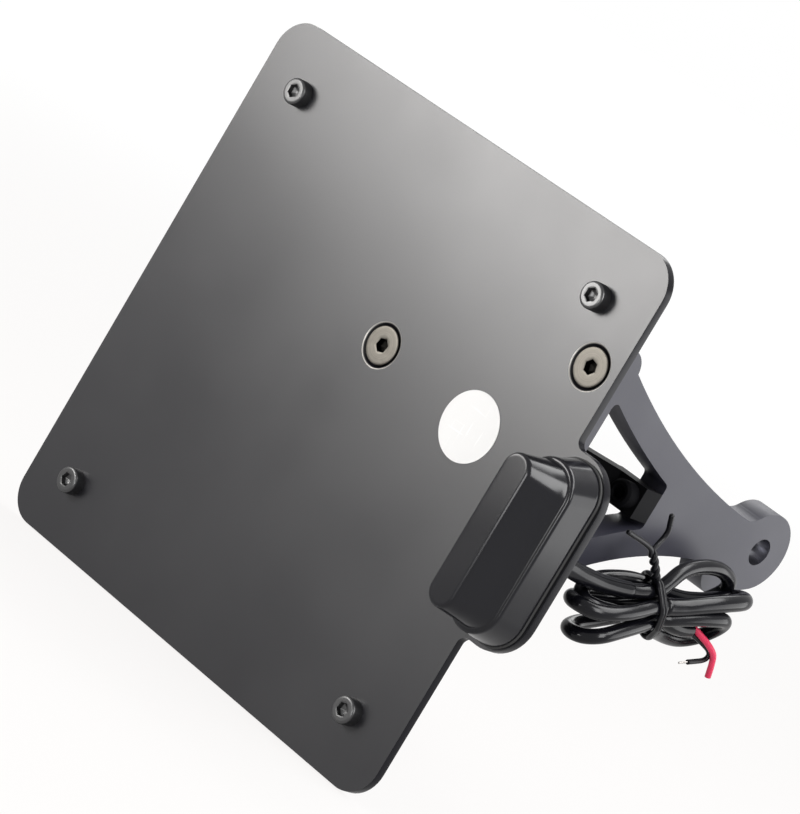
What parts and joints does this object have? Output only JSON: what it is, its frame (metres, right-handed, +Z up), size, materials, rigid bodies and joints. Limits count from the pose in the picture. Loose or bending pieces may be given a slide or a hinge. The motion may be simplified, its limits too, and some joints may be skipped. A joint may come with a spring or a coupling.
{
  "type": "number plate holder",
  "caption": "Side-mounted number plate holder: a flat panel on a braced arm with a clamping eye, a slim lamp at its edge and the lamp's tied cable.",
  "frame": {"origin": "centre of the bore in the arm's eye, at the middle of the arm's thickness", "axes": "in-use frame seen from behind the motorcycle: +X to the right along the bore, +Y forwards, +Z up; the panel faces -Y"},
  "size_m": [0.2002, 0.1525, 0.18],
  "materials": {
    "panel_coating": "black satin powder coat",
    "arm_coating": "black satin powder coat on milled plate",
    "brace_coating": "black satin coat",
    "bright_screw": "bare stainless steel, turned",
    "black_screw": "black oxide, slightly oily",
    "zinc_fastener": "plain zinc",
    "lamp_plastic": "polished black",
    "soft_rubber": "matt black",
    "clear_lens": "clear polished",
    "board_green": "laminate",
    "led_face": "yellow-white",
    "white_label": "satin white",
    "cable_jacket": "smooth black PVC, satin gloss",
    "tie_coating": "black coated wire",
    "red_insulation": "satin red PVC",
    "tinned_end": "tinned stranded copper"
  },
  "bodies": {
    "root": {"number_plate_panel": "panel_coating", "side_arm": "arm_coating", "brace_strut": "brace_coating", "arm_screw_upper": "bright_screw", "arm_screw_lower": "bright_screw", "brace_foot_screw": "bright_screw", "brace_pad_screw": "black_screw", "plate_screw_1": "black_screw", "plate_screw_2": "black_screw", "plate_screw_3": "black_screw", "plate_screw_4": "black_screw", "plate_washer_1": "zinc_fastener", "plate_washer_2": "zinc_fastener", "plate_washer_3": "zinc_fastener", "plate_washer_4": "zinc_fastener", "plate_nut_1": "zinc_fastener", "plate_nut_2": "zinc_fastener", "plate_nut_3": "zinc_fastener", "plate_nut_4": "zinc_fastener", "lamp_housing": "lamp_plastic", "lamp_gasket": "soft_rubber", "lamp_lens": "clear_lens", "led_board": "board_green", "led_chips": "led_face", "lamp_screw_upper": "zinc_fastener", "lamp_screw_lower": "zinc_fastener", "lamp_washer_upper": "zinc_fastener", "lamp_washer_lower": "zinc_fastener", "cable_gland": "soft_rubber", "round_label": "white_label", "cable_lead": "cable_jacket", "cable_hank": "cable_jacket", "bundle_tie": "tie_coating", "red_wire": "red_insulation", "black_wire": "cable_jacket", "black_wire_tip": "tinned_end"}
  },
  "joints": []
}
